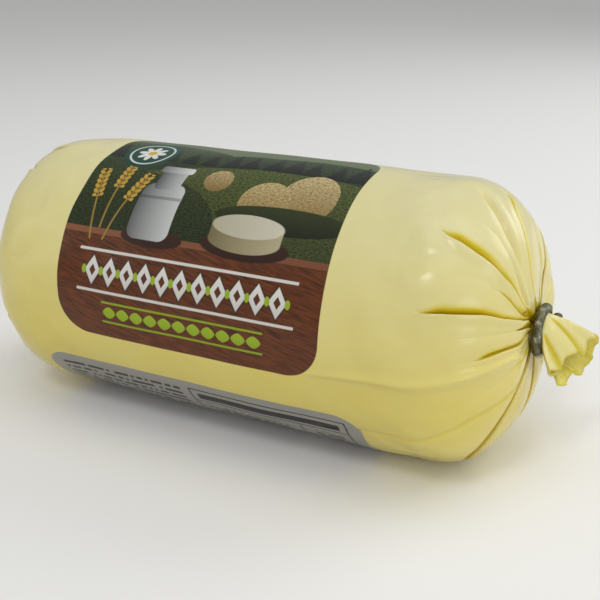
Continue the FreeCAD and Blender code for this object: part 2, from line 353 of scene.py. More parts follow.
def filmPoints(phi, out, radius, along, height, shift):
    # the rows turned about the axis, moved out along their normals by the height and round by the shift,
    # leaning and lifted at the necks and pressed flat underneath
    normalOut, normalRadius = -np.gradient(radius, along), np.gradient(out, along)
    size = np.hypot(normalOut, normalRadius)
    turned = phi * degree + shift / radius[:, None]
    lateral = radius[:, None] + height * (normalRadius / size)[:, None]
    x = out[:, None] + height * (normalOut / size)[:, None]
    y = -lateral * np.cos(turned)
    z = lateral * np.sin(turned)
    for end in (nearEnd, farEnd):
        domeOut = end["side"] * out - packShape["straightHalf"]
        closeBy = smooth((domeOut - 0.4 * end["depth"]) / (0.45 * end["depth"]))[:, None]
        x += closeBy * leaning(end["lean"], y)
        z += closeBy * end["lift"]
    # a rounded maximum of z and the flat's height
    flatZ = packShape["flatDepth"] - packShape["radius"]
    z = 0.5 * (z + flatZ + np.sqrt((z - flatZ) ** 2 + 0.25))
    return np.stack([x, y, z], -1) + packMiddle


def makeFilm():
    # rows along the pack by columns round it, the columns crowded towards the fold lines by w - c sin(2 pi w)
    rng = np.random.default_rng(filmShape["seed"])
    out, radius, share, along = filmRows()
    angles = lineAngles(out, share, rng)
    gap = np.diff(angles, axis=1, append=angles[:, :1] + 360.0)
    w = np.arange(filmShape["perGap"]) / filmShape["perGap"]
    crowded = w - filmShape["crowding"] * np.sin(2.0 * math.pi * w)
    phi = (angles[:, :, None] + gap[:, :, None] * crowded).reshape(len(out), -1)

    height = swelling(radius, share, gap, crowded)
    shift = np.zeros_like(phi)
    foldTintAndShade = np.zeros_like(phi)
    thin = np.clip(radius / 12.0, 0.25, 1.0)[:, None]
    for index, depth, shallow, width, lip, over, grow in foldCuts(out, share, rng):
        away = turnFrom(phi, angles[:, index:index + 1]) * degree * radius[:, None]
        cut, slid, tintAndShade = foldShape(away, depth * thin * shallow * grow, width, lip, over * thin * grow)
        height += cut
        shift += slid
        # painted shade in the folds, stronger in deeper ones, with the deeper yellow of film in layers
        foldTintAndShade = np.maximum(foldTintAndShade, tintAndShade * grow * np.clip(depth / 2.0, 0.0, 1.0))
    height += filmUnevenness(phi, out, radius, rng)

    film = addTube("casingFilm", filmPoints(phi, out, radius, along, height, shift), flip=True)
    phiSeam = np.concatenate([phi, phi[:, :1] + 360.0], 1)
    outSeam = np.repeat(out[:, None], phiSeam.shape[1], 1)
    printLayer = setCorners(film, "printPlace", outSeam / printUnit,
                            phiSeam * degree * packShape["radius"] / printUnit)
    printLayer.active_render = True
    bakeU = np.repeat((0.01 + 0.98 * along / along[-1])[:, None], phiSeam.shape[1], 1)
    level = phiSeam[filmShape["farNeckRows"] + filmShape["farRows"] + filmShape["middleRows"] // 2]
    bakeV = np.repeat((0.005 + 0.99 * (level - level[0]) / 360.0)[None, :], len(out), 0)
    setCorners(film, "OFBake", bakeU, bakeV)
    setNumbers(film, "foldTintAndShade", foldTintAndShade)
    slack = bell((np.abs(out) - packShape["straightHalf"] + 1.0) / 11.0)
    setNumbers(film, "slack", np.repeat(slack[:, None], phi.shape[1], 1))
    return film


# The film's look. Colours are screen steps: plain and pale spots, paler up top as a painted sheen, the same
# in a deeper yellow low down as painted shade, then from a fold's edge, the deeper yellow of film in layers,
# to its dark bottom, painted shade. The heights where the low painted shade ends and the upper painted sheen
# begins are in metres.
filmLook = {
    # the upper colours are paler as a painted sheen, the low ones a deeper yellow as painted shade
    "plain": (225, 218, 163), "pale": (228, 221, 172), "low": (229, 212, 112), "shadedLowPale": (231, 216, 124),
    # a fold's colours: first the deeper yellow of film in layers, then painted shade darkening to its bottom
    "edge": (221, 202, 46), "deep": (200, 168, 0), "foldShadeLine": (112, 84, 4), "paintedShadeTo": 0.023, "paintedSheenFrom": 0.063,
    "rough": 0.11, "roughSpots": 0.15, "printRough": 0.16, "gloss": 0.32,
    "crumple": 0.25, "slackCrumple": 1.35, "bump": 0.5, "bumpDistance": 0.0011,
}


def paint(red, green, blue):
    # a colour given as 0 to 255 steps on screen, made linear
    steps = np.array([red, green, blue]) / 255.0
    linear = np.where(steps <= 0.04045, steps / 12.92, ((steps + 0.055) / 1.055) ** 2.4)
    return (*linear.tolist(), 1.0)


class Nodes:
    # short ways to add and join a material's nodes
    def __init__(self, name):
        self.material = bpy.data.materials.new(name)
        self.material.use_nodes = True
        self.tree = self.material.node_tree
        self.tree.nodes.clear()
        self.output = self.add("ShaderNodeOutputMaterial")
        self.shader = self.add("ShaderNodeBsdfPrincipled")
        self.join(self.shader.outputs[0], self.output.inputs["Surface"])

    def add(self, kind, **settings):
        # a node with its settings
        node = self.tree.nodes.new(kind)
        for key, value in settings.items():
            setattr(node, key, value)
        return node

    def join(self, source, target):
        # a link from one socket to another
        self.tree.links.new(source, target)

    def put(self, target, value):
        # a socket's link or its fixed value
        if isinstance(value, bpy.types.NodeSocket):
            self.join(value, target)
        else:
            target.default_value = value

    def maths(self, operation, *values, clamp=False):
        # one sum on numbers
        node = self.add("ShaderNodeMath", operation=operation, use_clamp=clamp)
        for target, value in zip(node.inputs, values):
            self.put(target, value)
        return node.outputs[0]

    def scaled(self, value, factor, plus, clamp=False):
        # value * factor + plus
        return self.maths("MULTIPLY_ADD", value, factor, plus, clamp=clamp)

    def times(self, value, factor, clamp=False):
        # value * factor
        return self.maths("MULTIPLY", value, factor, clamp=clamp)

    def vector(self, operation, *values):
        # one sum on places
        node = self.add("ShaderNodeVectorMath", operation=operation)
        for target, value in zip(node.inputs, values):
            self.put(target, value)
        return node.outputs["Value" if operation in ("LENGTH", "DOT_PRODUCT") else "Vector"]

    def mix(self, share, first, second):
        # first at share 0, second at share 1
        node = self.add("ShaderNodeMix", data_type="RGBA", clamp_factor=True)
        self.put(node.inputs["Factor"], share)
        self.put(node.inputs[6], first)
        self.put(node.inputs[7], second)
        return node.outputs[2]

    def noise(self, place, scale, detail=3.0, rough=0.5, warp=0.0):
        # cloudy noise from 0 to 1
        node = self.add("ShaderNodeTexNoise")
        self.join(place, node.inputs["Vector"])
        node.inputs["Scale"].default_value = scale
        node.inputs["Detail"].default_value = detail
        node.inputs["Roughness"].default_value = rough
        node.inputs["Distortion"].default_value = warp
        return node.outputs["Fac"]

    def random(self, value):
        # one random number from 0 to 1 for each value
        node = self.add("ShaderNodeTexWhiteNoise", noise_dimensions="1D")
        self.join(value, node.inputs["W"])
        return node.outputs["Value"]

    def part(self, place, axis):
        # one number of a place: its dot product with an axis
        return self.vector("DOT_PRODUCT", place, (1.0, 0.0, 0.0) if axis == 0 else (0.0, 1.0, 0.0))

    def stretched(self, place, sizes, turn=0.0):
        # a place turned by degrees, then measured in sizes along each axis
        turned = self.add("ShaderNodeMapping", vector_type="POINT")
        turned.inputs["Rotation"].default_value = (0.0, 0.0, -turn * degree)
        sized = self.add("ShaderNodeMapping", vector_type="POINT")
        sized.inputs["Scale"].default_value = sizes
        self.join(place, turned.inputs["Vector"])
        self.join(turned.outputs[0], sized.inputs["Vector"])
        return sized.outputs[0]

    def band(self, value, low, high):
        # 0 at low, 1 at high
        return self.scaled(value, 1.0 / (high - low), -low / (high - low), clamp=True)

    def attribute(self, name):
        # the mesh's own number of that name
        return self.add("ShaderNodeAttribute", attribute_name=name).outputs["Fac"]

    def look(self, name, source):
        # one input of the surface's shader
        self.join(source, self.shader.inputs[name])

    def bump(self, height, strength, distance):
        # the normal tilted by a height's slope
        node = self.add("ShaderNodeBump")
        node.inputs["Strength"].default_value = strength
        node.inputs["Distance"].default_value = distance
        self.join(height, node.inputs["Height"])
        self.look("Normal", node.outputs["Normal"])

    def fixed(self, **numbers):
        # inputs of the shader that are the same all over
        for key, value in numbers.items():
            self.shader.inputs[key.replace("_", " ")].default_value = value


# The print. Places in millimetres from a field's lower left corner, colours as screen steps. A shape is an
# oval with radii, or a box with half sizes and a corner, turned by degrees; its colour runs from the first to
# the second up it, or across it if along is 0.
printEdge = {"oval": 0.16, "box": 6.0, "boxRise": 0.6, "leastCorner": 0.15}  # how softly a shape's cover ends
motifColours = {"stalk": (150, 122, 48), "grain": (190, 152, 58), "petal": (222, 226, 218),
                "heart": (208, 176, 60), "woodDark": (44, 19, 5), "woodFine": (138, 84, 46)}


def shape(kind, at, size=None, *colour, **more):
    # a shape of the print: its kind, middle, size, one or two colours, and what else its kind needs
    return {"kind": kind, "at": at, "size": size, "colour": colour, **more}


labelField = {"left": -38.0, "low": -6.0, "wide": 66.4, "high": 61.5, "corner": 8.2,
              "base": (22, 34, 20)}
labelShapes = [
    # sky, hills, firs, meadows and bushes, then the table and its edge
    shape("box", (33, 58), (36, 10), (112, 128, 92), (64, 82, 46)),
    shape("oval", (12, 44), (26, 13), (34, 50, 24), (66, 86, 42), leafy=(20, 32, 14)),
    shape("oval", (50, 43), (34, 12), (24, 38, 20), (56, 76, 36), leafy=(14, 24, 12)),
    shape("firs", (33, 49), (5.2, 7.5), (8, 15, 8), (18, 30, 16)),
    shape("oval", (46, 30), (44, 17), (40, 48, 18), (92, 104, 48), leafy=(32, 40, 14)),
    shape("oval", (8, 27), (30, 15), (22, 32, 14), (60, 74, 34), leafy=(16, 22, 9)),
    shape("oval", (56.5, 39.5), (6.6, 7.6), (122, 96, 44), (214, 200, 152), leafy=(138, 108, 52)),
    shape("oval", (47, 36.5), (6.0, 6.4), (120, 94, 42), (206, 190, 140), leafy=(134, 104, 48)),
    shape("oval", (33.5, 41.5), (3.4, 3.6), (124, 100, 52), (196, 182, 134), leafy=(130, 102, 50)),
    shape("oval", (53, 32.5), (16, 3.4), (20, 26, 10), (48, 56, 24)),
    shape("box", (33.2, 9.0), (36, 15.5), (114, 56, 22), (100, 48, 18), grain=-14.0),
    shape("box", (33.2, 24.2), (36, 0.7), (134, 84, 56), (120, 72, 48), along=0),
    # the cheese wheel
    shape("oval", (46.5, 25.4), (10.6, 2.9), (46, 25, 15), (56, 31, 19)),
    shape("oval", (46.0, 26.8), (8.6, 2.8), (118, 106, 72), (178, 168, 136), along=0),
    shape("box", (46.0, 28.5), (8.6, 1.7), (116, 104, 72), (176, 166, 134), along=0),
    shape("oval", (46.0, 30.2), (8.6, 2.8), (176, 170, 146), (202, 198, 178), along=0),
    # the milk churn
    shape("oval", (23.4, 24.4), (8.0, 2.2), (48, 26, 16), (58, 31, 19)),
    shape("box", (22, 31.0), (5.4, 7.2), (96, 98, 98), (196, 198, 196), corner=2.4, along=0),
    shape("box", (22, 34.2), (5.5, 0.4), (74, 76, 76), (158, 160, 158), along=0),
    shape("box", (22, 40.0), (3.3, 3.4), (86, 88, 88), (184, 186, 184), corner=1.0, along=0),
    shape("box", (22, 43.2), (4.3, 1.1), (110, 112, 112), (214, 216, 214), corner=0.7, along=0),
    # the ears of grain
    shape("ear", (5.5, 31), turn=12),
    shape("ear", (9.5, 34), turn=-2),
    shape("ear", (13.2, 31), turn=-16),
    # the round emblem with a daisy
    shape("oval", (10.6, 49.6), (6.9, 6.9), (10, 58, 46), (14, 72, 56)),
    shape("oval", (10.6, 49.6), (5.6, 5.6), (206, 214, 206)),
    shape("oval", (10.6, 49.6), (5.1, 5.1), (12, 66, 52)),
    shape("daisy", (10.6, 49.6)),
    # lozenges with small ovals between them and a rule over and under, then a bar of green ovals
    *(shape("row", (33.2, 15.4), (25.85, 4.0), *colours, pitch=4.7, motif=motif, round=1.0)
      for motif, *colours in (((2.45, 3.75), (40, 24, 16)), ((2.1, 3.3), (206, 204, 198), (226, 225, 219)),
                              ((0.85, 1.35), (92, 50, 30)))),
    shape("row", (33.2, 15.4), (26.9, 4.0), (150, 176, 44), pitch=4.7, shift=2.35, motif=(0.6, 1.0),
          round=2.0),
    *(shape("box", (33.2, y), (27.6, 0.3), (214, 212, 206)) for y in (20.0, 10.8)),
    shape("row", (33.2, 6.2), (20.35, 2.0), (142, 168, 30), (160, 186, 44), pitch=3.7, motif=(1.7,
          1.35), round=1.5),
    *(shape("box", (33.2, y), (20.6, 0.22), (142, 168, 30)) for y in (8.5, 3.9)),
]
panelField = {"left": -47.0, "low": -46.7, "wide": 83.0, "high": 31.7, "corner": 6.0,
              "base": (156, 154, 150)}
panelShapes = [
    shape("lines", (21, 16), (17, 12.5), (26, 26, 28)),
    shape("box", (60, 15.8), (19.5, 13.4), (12, 12, 14)),
    shape("box", (60, 15.8), (19.1, 13.0), (156, 154, 150)),
    shape("box", (60, 26.2), (17.6, 1.3), (14, 14, 16)),
    shape("lines", (53, 12.5), (10.5, 9.5), (20, 20, 22)),
    shape("lines", (74, 12.5), (3.6, 9.5), (20, 20, 22)),
    shape("box", (67.3, 13.2), (0.15, 10.2), (14, 14, 16)),
    shape("box", (60, 23.8), (19.0, 0.2), (14, 14, 16)),
]


def local(n, place, at, size=(1.0, 1.0), turn=0.0):
    # a place seen from a shape's middle, turned with it and measured in its sizes
    seen = n.vector("SUBTRACT", place, (at[0], at[1], 0.0))
    if turn:
        c, s = math.cos(turn * degree), math.sin(turn * degree)
        both = n.add("ShaderNodeCombineXYZ")
        n.join(n.vector("DOT_PRODUCT", seen, (c, s, 0.0)), both.inputs[0])
        n.join(n.vector("DOT_PRODUCT", seen, (-s, c, 0.0)), both.inputs[1])
        seen = both.outputs[0]
    if size == (1.0, 1.0):
        return seen
    return n.vector("MULTIPLY", seen, (1.0 / size[0], 1.0 / size[1], 1.0))


def ovalCover(n, place, at, size, turn=0.0):
    # 1 inside an oval, where its own length is under 1, over a thin soft edge
    length = n.vector("LENGTH", local(n, place, at, size, turn))
    sharp = min(size) / printEdge["oval"]
    return n.scaled(length, -sharp, sharp + 0.5, clamp=True)


def boxCover(n, place, at, size, corner=0.0, turn=0.0):
    # 1 where the distance to a rounded box is under 0: length(max(|p| - half + r, 0)) - r
    corner = max(corner, printEdge["leastCorner"])
    seen = n.vector("ABSOLUTE", local(n, place, at, turn=turn))
    past = n.vector("SUBTRACT", seen, (size[0] - corner, size[1] - corner, 0.0))
    past = n.vector("MAXIMUM", past, (0.0, 0.0, 0.0))
    rise = printEdge["box"] * corner + printEdge["boxRise"]
    return n.scaled(n.vector("LENGTH", past), -printEdge["box"], rise, clamp=True)


def firCover(n, place, at, size):
    # a row of firs of changing height: |x| of each cell under a narrowing half width, with toothed sides
    seen = local(n, place, at)
    x, y = n.part(seen, 0), n.part(seen, 1)
    change = n.random(n.maths("FLOOR", n.maths("DIVIDE", x, size[0])))
    tall = n.scaled(change, 0.5 * size[1], 0.6 * size[1])
    across = n.maths("PINGPONG", n.maths("ADD", x, 0.5 * size[0]), 0.5 * size[0])
    across = n.maths("SUBTRACT", 0.5 * size[0], across)
    teeth = n.times(n.maths("FLOORED_MODULO", y, 1.7), -0.35)
    allowed = n.times(n.maths("SUBTRACT", tall, y), 0.36)
    cover = n.maths("SUBTRACT", n.maths("ADD", allowed, teeth), across)
    above = n.scaled(y, 3.0, 9.0, clamp=True)
    return n.times(n.times(cover, 4.0, clamp=True), above)


def earCover(n, place, at, turn):
    # two rows of grains leaning out from a stalk: a leaning oval repeated up the stalk, mirrored across it
    seen = local(n, place, at, turn=turn)
    x, y = n.maths("ABSOLUTE", n.part(seen, 0)), n.part(seen, 1)
    cell = n.maths("PINGPONG", n.scaled(x, -0.5, y), 0.72)
    aside = n.scaled(x, 1.0 / 0.62, -0.85 / 0.62)
    length = n.maths("ADD", n.maths("POWER", n.maths("ABSOLUTE", aside), 2.0),
                     n.maths("POWER", n.maths("DIVIDE", cell, 0.66), 2.0))
    cover = n.scaled(length, -4.0, 4.5, clamp=True)
    inside = n.maths("LESS_THAN", n.maths("ABSOLUTE", n.maths("SUBTRACT", y, 6.0)), 4.3)
    return n.times(cover, inside)


def daisyCover(n, place, at):
    # petals in opposite pairs, ovals at |x| past the middle, at four turns
    cover = None
    for turn in (0.0, 45.0, 90.0, 135.0):
        seen = n.vector("ABSOLUTE", local(n, place, at, turn=turn))
        length = n.vector("LENGTH", local(n, seen, (2.2, 0.0), (1.5, 0.72)))
        pair = n.scaled(length, -4.5, 5.0, clamp=True)
        cover = n.maths("MAXIMUM", cover, pair) if cover else pair
    return cover


def rowCover(n, place, at, size, pitch, motif, power, shift):
    # a row of like motifs: (|x| / w)^k + (|y| / h)^k under 1 in each cell, k 1 for a diamond, 2 for an oval
    seen = local(n, place, at)
    cell = n.maths("PINGPONG", n.maths("ADD", n.part(seen, 0), shift), 0.5 * pitch)
    parts = [n.maths("POWER", n.maths("DIVIDE", n.maths("ABSOLUTE", value), half), power)
             for value, half in ((cell, motif[0]), (n.part(seen, 1), motif[1]))]
    cover = n.scaled(n.maths("ADD", *parts), -7.0, 7.5, clamp=True)
    return n.times(cover, boxCover(n, place, at, size))


def linesCover(n, place, at, size, pitch=2.3, thick=1.1, step=0.8):
    # rows of short dashes inside a box, like set lines of small print: each step of a row is there or not at
    # random
    seen = local(n, place, at)
    x, y = n.part(seen, 0), n.part(seen, 1)
    row = n.maths("FLOOR", n.maths("DIVIDE", y, pitch))
    inRow = n.maths("LESS_THAN", n.maths("FLOORED_MODULO", y, pitch), thick)
    cell = n.maths("FLOOR", n.maths("DIVIDE", x, step))
    on = n.maths("GREATER_THAN", n.random(n.scaled(row, 97.0, cell)), 0.24)
    return n.times(n.times(inRow, on), boxCover(n, place, at, size))


def shapeCover(n, place, item):
    # where a shape of each kind covers the print
    kind, at, size, turn = item["kind"], item["at"], item["size"], item.get("turn", 0.0)
    if kind == "oval":
        return ovalCover(n, place, at, size, turn)
    if kind == "firs":
        return firCover(n, place, at, size)
    if kind == "lines":
        return linesCover(n, place, at, size)
    if kind == "row":
        return rowCover(n, place, at, size, item["pitch"], item["motif"], item["round"],
                        item.get("shift", 0.0))
    return boxCover(n, place, at, size, item.get("corner", 0.0), turn)


def shapeColour(n, printMap, place, item):
    # a shape's colour, running across it if there are two, with spots of leaves or streaks of wood over it
    first, second = paint(*item["colour"][0]), paint(*item["colour"][-1])
    colour = first
    if first != second:
        seen = local(n, place, item["at"], item["size"], item.get("turn", 0.0))
        across = n.part(seen, item.get("along", 1))
        colour = n.mix(n.scaled(across, 0.5, 0.5, clamp=True), first, second)
    if "leafy" in item:
        leaves = n.noise(n.stretched(printMap, (150.0, 260.0, 1.0)), 1.0, 4.0, 0.7)
        colour = n.mix(n.band(leaves, 0.42, 0.62), colour, paint(*item["leafy"]))
    if "grain" in item:
        grain = n.noise(n.stretched(printMap, (14.0, 140.0, 1.0), item["grain"]), 1.4, 4.0, 0.65, 0.4)
        colour = n.mix(n.band(grain, 0.34, 0.62), paint(*motifColours["woodDark"]), colour)
        fine = n.noise(n.stretched(printMap, (8.0, 420.0, 1.0), item["grain"]), 2.6, 3.0, 0.6)
        streaks = n.times(n.band(fine, 0.46, 0.66), 0.5)
        colour = n.mix(streaks, colour, paint(*motifColours["woodFine"]))
    return colour


def printField(n, printMap, place, field, shapes):
    # the shapes of a field, painted one over the other on its base colour, from back to front
    seen = n.vector("SUBTRACT", place, (field["left"], field["low"], 0.0))
    colour = paint(*field["base"])
    for item in shapes:
        at = item["at"]
        if item["kind"] == "ear":
            stalk = boxCover(n, seen, at, (0.22, 9.0), 0.2, item["turn"])
            colour = n.mix(stalk, colour, paint(*motifColours["stalk"]))
            colour = n.mix(earCover(n, seen, at, item["turn"]), colour, paint(*motifColours["grain"]))
        elif item["kind"] == "daisy":
            colour = n.mix(daisyCover(n, seen, at), colour, paint(*motifColours["petal"]))
            colour = n.mix(ovalCover(n, seen, at, (1.15, 1.15)), colour, paint(*motifColours["heart"]))
        else:
            cover = shapeCover(n, seen, item)
            colour = n.mix(cover, colour, shapeColour(n, printMap, seen, item))
    middle = (field["left"] + 0.5 * field["wide"], field["low"] + 0.5 * field["high"])
    inside = boxCover(n, place, middle, (0.5 * field["wide"], 0.5 * field["high"]), field["corner"])
    return colour, inside


def filmMaterial():
    # mottled film, paler towards the top as a painted sheen and deeper yellow low down as painted shade, then
    # the label and the panel, then the folds' yellow of film in layers and their painted shade in dark lines
    n = Nodes("printedFilm")
    place = n.add("ShaderNodeTexCoord").outputs["Object"]
    foldTintAndShade = n.attribute("foldTintAndShade")
    printMap = n.add("ShaderNodeUVMap", uv_map="printPlace").outputs["UV"]
    printed = n.vector("SCALE", printMap)
    printed.node.inputs["Scale"].default_value = printUnit
    mottled = n.noise(place, 60.0, 3.0, 0.55)
    spots = n.band(mottled, 0.3, 0.7)
    # painted sheen above and painted shade below: the same mottled film in two colours
    sheenUpper = n.mix(spots, paint(*filmLook["plain"]), paint(*filmLook["pale"]))
    shadedLower = n.mix(spots, paint(*filmLook["low"]), paint(*filmLook["shadedLowPale"]))
    split = n.add("ShaderNodeSeparateXYZ")
    n.join(place, split.inputs[0])
    # from the painted shade low down to the painted sheen above, by height
    colour = n.mix(n.band(split.outputs[2], filmLook["paintedShadeTo"], filmLook["paintedSheenFrom"]), shadedLower, sheenUpper)
    label, inLabel = printField(n, printMap, printed, labelField, labelShapes)
    panel, inPanel = printField(n, printMap, printed, panelField, panelShapes)
    colour = n.mix(inLabel, colour, label)
    colour = n.mix(inPanel, colour, panel)
    # the folds: deeper yellow of film in layers, then painted shade down to a dark line
    for name, low, high in (("edge", 0.04, 0.36), ("deep", 0.28, 0.66), ("foldShadeLine", 0.82, 0.97)):
        colour = n.mix(n.band(foldTintAndShade, low, high), colour, paint(*filmLook[name]))
    n.look("Base Color", colour)
    rough = n.scaled(mottled, filmLook["roughSpots"], filmLook["rough"])
    inPrint = n.maths("MAXIMUM", inLabel, inPanel)
    n.look("Roughness", n.scaled(inPrint, filmLook["printRough"], rough))
    loose = n.scaled(n.attribute("slack"), filmLook["slackCrumple"], filmLook["crumple"])
    crumple = n.times(n.noise(place, 125.0, 1.5, 0.5, 0.2), loose)
    n.bump(crumple, filmLook["bump"], filmLook["bumpDistance"])
    n.fixed(Specular_IOR_Level=filmLook["gloss"])
    return n.material


film = makeFilm()
film.data.materials.append(filmMaterial())
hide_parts("filled_casing")
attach(film, "root")
print("film made")


# The ruffled tails. mouth: the cut edge, as angle round the neck, then out past the clip, across and up from
# the axis in mm. folds: angle, how deep each valley cuts towards the middle and how wide it is in degrees.
nearTail = {"end": nearEnd, "mouth": [
    (-12, 2.1, -8.0, -4.4), (22, 3.2, -4.0, -5.4), (52, 4.9, 1.6, -3.7), (84, 6.1, 7.0, -5.3),
    (114, 7.2, 10.8, -3.4), (146, 7.9, 14.0, -4.1), (182, 7.4, 12.4, -8.4), (218, 6.2, 6.8, -10.6),
    (252, 5.1, 2.3, -9.0), (286, 4.3, -1.8, -10.1), (322, 2.5, -5.4, -7.2)],
    "folds": [(24, 1.5, 9), (84, 1.7, 8), (180, 0.9, 10), (250, 1.3, 9), (318, 1.2, 10)], "bow": 0.5}
farTail = {"end": farEnd, "mouth": [
    (-12, 4.0, -8.6, -1.4), (24, 5.2, -5.0, -1.8), (56, 6.6, -1.2, 0.6), (88, 7.0, 3.4, -1.4),
    (118, 7.7, 6.8, -0.2), (152, 7.9, 9.0, -2.8), (188, 7.2, 8.0, -6.8), (224, 6.8, 3.4, -8.2),
    (258, 6.0, -0.6, -6.9), (292, 5.4, -4.2, -8.8), (326, 4.6, -7.6, -5.4)],
    "folds": [(24, 1.3, 9), (88, 1.5, 9), (186, 0.9, 10), (258, 1.2, 9), (322, 1.1, 10)], "bow": 0.5}
# rows start a little inside the clip, at shares below 0; lengths in millimetres, colours in screen steps
tailFilm = {
    "inside": (-0.45, -0.25, -0.1), "insideReach": 2.4, "rows": 42, "columns": 320, "wall": 0.14,
    "slip": 0.05, "ruffle": 0.16, "frill": 0.32, "fineFrill": 0.07,
    # the inside's colours: the film in a deeper yellow, painted shade
    "outer": ((228, 216, 136), (231, 220, 152)), "inner": ((216, 200, 58), (222, 208, 96)),
    "edge": (208, 190, 40),
}


def mouthCurve(table, phi):
    # a closed curve through the mouth's points, Catmull-Rom between them
    angle, *rest = (np.array(column, dtype=float) for column in zip(*table))
    count = len(angle)
    starts = np.concatenate([angle, [angle[0] + 360.0]])
    turned = (phi - angle[0]) % 360.0 + angle[0]
    index = np.clip(np.searchsorted(starts, turned, side="right") - 1, 0, count - 1)
    t = (turned - starts[index]) / (starts[index + 1] - starts[index])
    curves = []
    for values in rest:
        before, here, after, later = (values[(index + k) % count] for k in (-1, 0, 1, 2))
        cubic = t * (3.0 * (here - after) + later - before)
        square = t * (2.0 * before - 5.0 * here + 4.0 * after - later + cubic)
        curves.append(here + 0.5 * t * (after - before + square))
    return curves


def makeTail(name, tail):
    # straight film from the neck to the mouth's curve, bowed a little and ruffled by sines, with valleys cut
    # along the folds
    end = tail["end"]
    share = np.concatenate([tailFilm["inside"], np.linspace(0.0, 1.0, tailFilm["rows"])])[:, None]
    phi = np.linspace(0.0, 360.0, tailFilm["columns"], endpoint=False)
    angle = phi * degree
    reach = np.clip(share, 0.0, 1.0)
    spread = reach * (0.75 + 0.25 * reach)
    mouthOut, mouthY, mouthZ = mouthCurve(tail["mouth"], phi)
    tintAndShade = 0.34 * bell((1.0 - reach) / 0.06)
    for at, depth, width in tail["folds"]:
        away = turnFrom(phi, at)
        valley = bell(away / width)
        mouthY = mouthY - depth * valley * (mouthY - mouthY.mean()) / 9.0
        mouthZ = mouthZ - depth * valley * (mouthZ - mouthZ.mean()) / 4.0
        # along each fold the deeper yellow of film in layers with painted shade in its valley
        tintAndShade = np.maximum(tintAndShade, bell(away / (0.9 * width)) * smooth(reach * 3.0) * (1.0 - 0.35 * reach))
    ruffle = tailFilm["ruffle"] * np.sin(9.0 * angle + 1.0) * np.sin(math.pi * reach) * reach
    frill = tailFilm["frill"] * np.sin(11.0 * angle + 0.4) + tailFilm["fineFrill"] * np.sin(29.0 * angle)
    frill = reach ** 4 * frill
    bow = tail["bow"] * np.sin(math.pi * reach) + ruffle + 0.8 * frill
    neck = packShape["neckRadius"] - tailFilm["slip"] + bow
    outside = spread * (mouthOut + 0.5 * packShape["neckHalf"]) - frill
    outside = np.where(share < 0.0, tailFilm["insideReach"] * share, outside)
    out = neckStart(end) + 1.5 * packShape["neckHalf"] + outside
    y = -neck * np.cos(angle) * (1.0 - spread) + spread * (mouthY - bow * np.cos(angle))
    z = (end["lift"] + neck * np.sin(angle)) * (1.0 - spread) + spread * (mouthZ + bow * np.sin(angle))
    x = end["side"] * out + leaning(end["lean"], y) * (1.0 - spread)
    piece = addTube(name, np.stack([x, y, z], -1) + packMiddle, flip=end["side"] > 0, openEnd=True)
    setNumbers(piece, "foldTintAndShade", tintAndShade)
    piece.data.materials.append(tailLook)
    # the inner shell takes the film's copy in deeper yellow, painted shade
    piece.data.materials.append(tailInsideShaded)
    wall = piece.modifiers.new("filmWall", "SOLIDIFY")
    wall.thickness = tailFilm["wall"] * mm
    wall.offset = -1.0
    wall.material_offset = 1
    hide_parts("filled_casing")
    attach(piece, "root")


def tailMaterial(name, plain, pale):
    # mottled film, yellower at the cut edge, and along the folds the deeper yellow of film in layers with
    # painted shade, darker
    n = Nodes(name)
    place = n.add("ShaderNodeTexCoord").outputs["Object"]
    foldTintAndShade = n.attribute("foldTintAndShade")
    mottled = n.noise(place, 150.0, 3.0, 0.55)
    colour = n.mix(n.band(mottled, 0.3, 0.7), paint(*plain), paint(*pale))
    # the cut edge's yellow, then along the folds the deeper yellow of film in layers with painted shade
    colour = n.mix(n.band(foldTintAndShade, 0.05, 0.5), colour, paint(*tailFilm["edge"]))
    colour = n.mix(n.band(foldTintAndShade, 0.6, 1.0), colour, paint(*filmLook["deep"]))
    n.look("Base Color", colour)
    n.look("Roughness", n.scaled(mottled, 0.14, 0.20))
    n.bump(n.noise(place, 260.0, 2.0, 0.5), 0.4, 0.0006)
    return n.material


tailLook = tailMaterial("tailFilm", *tailFilm["outer"])
# the inside: the same film with painted shade in deeper yellow
tailInsideShaded = tailMaterial("tailFilmInsideShaded", *tailFilm["inner"])
makeTail("tailFilmNear", nearTail)
makeTail("tailFilmFar", farTail)
print("tails made")


# The wire clips, in millimetres and degrees: a little more than one turn of wire, its ends stepped aside.
clipWire = {
    "wide": 2.1, "deep": 1.9, "neckRadius": 4.0, "clearance": 0.02, "firstDeg": 150.0, "overlapDeg": 36.0,
    "legStep": 2.25, "legShift": 0.65, "steps": 260, "sides": 36,
    "dents": 14, "dentHeight": (-0.16, 0.05), "dentLength": (0.006, 0.02),
    "dark": (74, 73, 50), "plain": (118, 117, 96), "bright": (206, 206, 200), "metal": 0.8,
}


def clipMaterial():
    # dull blotchy metal with a few bright rubbed spots, rough where it is dark
    n = Nodes("clipWire")
    place = n.add("ShaderNodeTexCoord").outputs["Object"]
    blotch = n.noise(place, 520.0, 4.0, 0.62)
    colour = n.mix(n.band(blotch, 0.32, 0.56), paint(*clipWire["dark"]), paint(*clipWire["plain"]))
    colour = n.mix(n.band(blotch, 0.58, 0.70), colour, paint(*clipWire["bright"]))
    n.look("Base Color", colour)
    n.fixed(Metallic=clipWire["metal"])
    n.look("Roughness", n.scaled(blotch, -0.25, 0.58))
    n.bump(n.noise(place, 620.0, 3.0, 0.6), 0.8, 0.0005)
    return n.material


